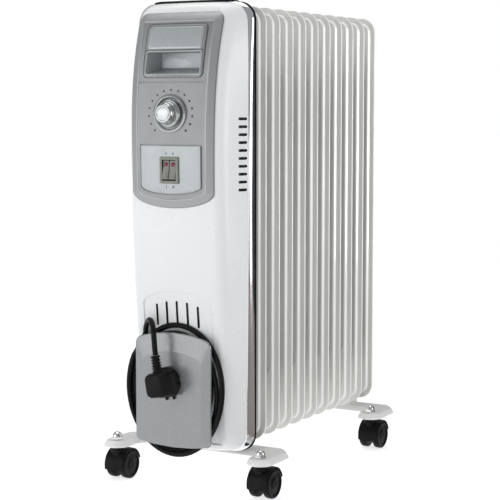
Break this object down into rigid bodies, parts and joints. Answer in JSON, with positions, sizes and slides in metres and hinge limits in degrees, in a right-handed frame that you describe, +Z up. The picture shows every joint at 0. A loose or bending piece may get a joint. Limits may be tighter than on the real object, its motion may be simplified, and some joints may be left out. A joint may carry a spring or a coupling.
{
  "type": "oil filled radiator heater",
  "caption": "Free-standing oil filled room heater with steel fins, a front housing with thermostat and switches, a cord winder with its lead, and swivelling twin-wheel castors.",
  "frame": {"origin": "on the floor, under the middle of the heater without its lead and plug", "axes": "+Z up, the controls face -Y, the fins are stacked along +Y, +X to the right seen from the front"},
  "size_m": [0.256, 0.4861, 0.637],
  "materials": {
    "fin_enamel": "warm light grey satin enamel",
    "bracket_enamel": "white satin enamel",
    "housing_white": "white gloss",
    "chrome_trim": "bright chrome",
    "chrome_bolt": "bright zinc and chrome",
    "steel": "zinc plated",
    "black_plastic": "black satin",
    "castor_black": "black nylon, satin",
    "cord_black": "black PVC, satin",
    "panel_grey": "metallic grey satin",
    "winder_grey": "metallic grey satin",
    "silver_plastic": "metallic silver satin",
    "switch_grey": "olive grey gloss with red lamps",
    "insulator": "cream matte"
  },
  "bodies": {
    "heater": {"fin_01": "fin_enamel", "fin_02": "fin_enamel", "fin_03": "fin_enamel", "fin_04": "fin_enamel", "fin_05": "fin_enamel", "fin_06": "fin_enamel", "fin_07": "fin_enamel", "fin_08": "fin_enamel", "fin_09": "fin_enamel", "fin_10": "fin_enamel", "fin_11": "fin_enamel", "filler_plug": "steel", "heating_element": "steel", "front_housing": "housing_white", "chrome_trim": "chrome_trim", "rear_frame": "black_plastic", "heat_shield": "steel", "top_handle": "black_plastic", "control_panel": "panel_grey", "handle_cup": "silver_plastic", "blank_plate": "silver_plastic", "switch_plate": "silver_plastic", "dial_ring": "silver_plastic", "thermostat": "insulator", "switch_body": "switch_grey", "terminal_block": "insulator", "thermal_cutout": "insulator", "winder_cover": "winder_grey", "winder_hub": "winder_grey", "cord_gland": "cord_black", "cord_coil": "cord_black", "cord_tail": "cord_black", "plug": "cord_black", "front_bracket": "bracket_enamel", "front_clamp_bolt": "steel", "front_wing_nut_left": "steel", "front_wing_nut_right": "steel", "rear_bracket": "bracket_enamel", "rear_clamp_bolt": "steel", "rear_wing_nut_left": "steel", "rear_wing_nut_right": "steel", "castor_bolt_front_left": "chrome_bolt", "castor_bolt_front_right": "chrome_bolt", "castor_bolt_rear_left": "chrome_bolt", "castor_bolt_rear_right": "chrome_bolt"},
    "castor_front_left": {"castor_body_front_left": "castor_black"},
    "wheel_front_left_left": {"castor_wheel_front_left_left": "castor_black"},
    "wheel_front_left_right": {"castor_wheel_front_left_right": "castor_black"},
    "castor_front_right": {"castor_body_front_right": "castor_black"},
    "wheel_front_right_left": {"castor_wheel_front_right_left": "castor_black"},
    "wheel_front_right_right": {"castor_wheel_front_right_right": "castor_black"},
    "castor_rear_left": {"castor_body_rear_left": "castor_black"},
    "wheel_rear_left_left": {"castor_wheel_rear_left_left": "castor_black"},
    "wheel_rear_left_right": {"castor_wheel_rear_left_right": "castor_black"},
    "castor_rear_right": {"castor_body_rear_right": "castor_black"},
    "wheel_rear_right_left": {"castor_wheel_rear_right_left": "castor_black"},
    "wheel_rear_right_right": {"castor_wheel_rear_right_right": "castor_black"},
    "knob": {"knob": "silver_plastic"},
    "rocker_left": {"rocker_left": "switch_grey"},
    "rocker_right": {"rocker_right": "switch_grey"}
  },
  "joints": [
    {"name": "swivel_front_left", "type": "hinge", "parent": "heater", "child": "castor_front_left", "pos_m": [-0.11, -0.17824, 0.03], "axis": [0, 0, 1], "continuous": true},
    {"name": "roll_front_left_left", "type": "hinge", "parent": "castor_front_left", "child": "wheel_front_left_left", "pos_m": [-0.1205, -0.16623, 0.01926], "axis": [1, 0, 0], "continuous": true},
    {"name": "roll_front_left_right", "type": "hinge", "parent": "castor_front_left", "child": "wheel_front_left_right", "pos_m": [-0.0995, -0.16623, 0.01926], "axis": [1, 0, 0], "continuous": true},
    {"name": "swivel_front_right", "type": "hinge", "parent": "heater", "child": "castor_front_right", "pos_m": [0.11, -0.17824, 0.03], "axis": [0, 0, 1], "continuous": true},
    {"name": "roll_front_right_left", "type": "hinge", "parent": "castor_front_right", "child": "wheel_front_right_left", "pos_m": [0.0995, -0.16623, 0.01926], "axis": [1, 0, 0], "continuous": true},
    {"name": "roll_front_right_right", "type": "hinge", "parent": "castor_front_right", "child": "wheel_front_right_right", "pos_m": [0.1205, -0.16623, 0.01926], "axis": [1, 0, 0], "continuous": true},
    {"name": "swivel_rear_left", "type": "hinge", "parent": "heater", "child": "castor_rear_left", "pos_m": [-0.11, 0.15477, 0.03], "axis": [0, 0, 1], "continuous": true},
    {"name": "roll_rear_left_left", "type": "hinge", "parent": "castor_rear_left", "child": "wheel_rear_left_left", "pos_m": [-0.1205, 0.16676, 0.01926], "axis": [1, 0, 0], "continuous": true},
    {"name": "roll_rear_left_right", "type": "hinge", "parent": "castor_rear_left", "child": "wheel_rear_left_right", "pos_m": [-0.0995, 0.16676, 0.01926], "axis": [1, 0, 0], "continuous": true},
    {"name": "swivel_rear_right", "type": "hinge", "parent": "heater", "child": "castor_rear_right", "pos_m": [0.11, 0.15477, 0.03], "axis": [0, 0, 1], "continuous": true},
    {"name": "roll_rear_right_left", "type": "hinge", "parent": "castor_rear_right", "child": "wheel_rear_right_left", "pos_m": [0.0995, 0.16676, 0.01926], "axis": [1, 0, 0], "continuous": true},
    {"name": "roll_rear_right_right", "type": "hinge", "parent": "castor_rear_right", "child": "wheel_rear_right_right", "pos_m": [0.1205, 0.16676, 0.01926], "axis": [1, 0, 0], "continuous": true},
    {"name": "knob_turn", "type": "hinge", "parent": "heater", "child": "knob", "pos_m": [0, -0.21824, 0.492], "axis": [0, -1, 0], "range_deg": [0, 270]},
    {"name": "rocker_left_tip", "type": "hinge", "parent": "heater", "child": "rocker_left", "pos_m": [-0.0052, -0.2157, 0.4205], "axis": [1, 0, 0], "range_deg": [0, 20]},
    {"name": "rocker_right_tip", "type": "hinge", "parent": "heater", "child": "rocker_right", "pos_m": [0.0052, -0.2157, 0.4205], "axis": [1, 0, 0], "range_deg": [0, 20]}
  ]
}
